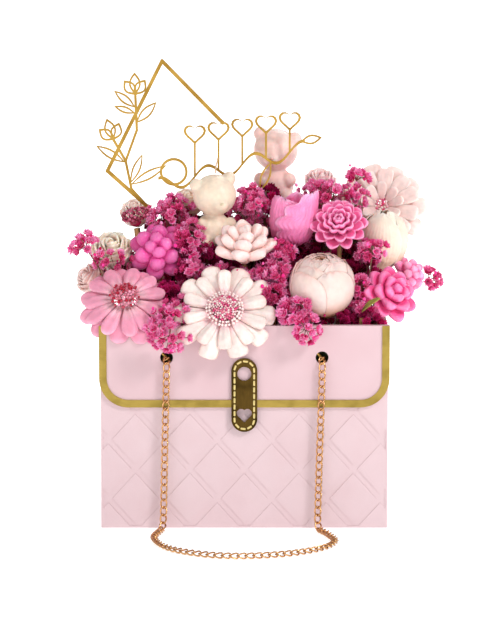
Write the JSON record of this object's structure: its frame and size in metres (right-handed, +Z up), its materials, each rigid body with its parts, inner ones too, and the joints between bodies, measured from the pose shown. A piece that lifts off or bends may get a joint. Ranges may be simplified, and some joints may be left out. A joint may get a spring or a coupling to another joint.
{
  "type": "flower box",
  "caption": "Handbag-shaped card box with a gold-edged flap, clasp and chain handle, filled with wax flowers, two bears, dyed gypsophila and a gold lift-out topper.",
  "frame": {"origin": "centre of the box's underside, on the surface it stands on", "axes": "+Z up, +X to the viewer's right, -Y out of the flap's face towards the viewer"},
  "size_m": [0.2614, 0.2221, 0.3224],
  "materials": {
    "card": "pale pink embossed card, satin",
    "flap_card": "pale pink plain card, satin",
    "gold_band": "antique gold foil band",
    "clasp_bronze": "dark gold-bronze plate",
    "clasp_thread": "pale gold thread",
    "rose_gold": "rose-gold plated links, polished",
    "gold_metal": "gold plated bar, polished",
    "floral_foam": "green phenolic foam, open pores",
    "wooden_picks": "plain birch picks",
    "pink_wax": "soap wax, soft satin",
    "crimson_wax": "soap wax, satin",
    "blush_wax": "soap wax, soft satin",
    "rose_beads": "soap wax beads, satin",
    "hot_pink_wax": "soap wax, soft satin",
    "cream_wax": "soap wax, soft satin",
    "beige_wax": "soap wax, soft satin",
    "peach_wax": "soap wax, soft satin",
    "cotton_wick": "waxed cotton",
    "leaf_green": "soft leaf",
    "dyed_gypsophila": "dried and dyed florets",
    "topper_gold": "gold-faced acrylic plate"
  },
  "bodies": {
    "box_and_flowers": {"front_panel": "card", "back_panel": "card", "left_panel": "card", "right_panel": "card", "base_panel": "card", "flap_panel": "flap_card", "flap_trim": "gold_band", "clasp_plate": "clasp_bronze", "clasp_stitching": "clasp_thread", "chain_left_drop": "rose_gold", "chain_floor_run": "rose_gold", "chain_right_drop": "rose_gold", "left_toggle": "gold_metal", "right_toggle": "gold_metal", "foam_block": "floral_foam", "flower_picks": "wooden_picks", "pink_gerbera": "pink_wax", "gerbera_beads": "crimson_wax", "blush_daisy": "blush_wax", "daisy_beads": "rose_beads", "egg_petal_bloom": "hot_pink_wax", "cream_lotus": "cream_wax", "cream_rose": "cream_wax", "pale_rose": "blush_wax", "dusty_rose": "beige_wax", "peach_rose": "beige_wax", "blush_rose": "blush_wax", "ribbed_bloom": "hot_pink_wax", "pink_dahlia": "hot_pink_wax", "peony": "peach_wax", "cream_tulip": "cream_wax", "magenta_succulent": "hot_pink_wax", "ball_petal_bloom": "pink_wax", "back_daisy": "blush_wax", "rear_rose_left": "blush_wax", "rear_rose_middle": "cream_wax", "rear_rose_right": "pink_wax", "cream_bear": "cream_wax", "cream_bear_wick": "cotton_wick", "pink_bear": "blush_wax", "berry_sprig": "crimson_wax", "green_leaf": "leaf_green", "gypsophila_left": "dyed_gypsophila", "gypsophila_top_left": "dyed_gypsophila", "gypsophila_front": "dyed_gypsophila", "gypsophila_middle": "dyed_gypsophila", "gypsophila_centre": "dyed_gypsophila", "gypsophila_right": "dyed_gypsophila", "gypsophila_top_right": "dyed_gypsophila", "gypsophila_back": "dyed_gypsophila"},
    "topper": {"topper": "topper_gold"}
  },
  "joints": [
    {"name": "topper_lift", "type": "slide", "parent": "box_and_flowers", "child": "topper", "axis": [0, 0, 1], "range_m": [0, 0.1]}
  ]
}
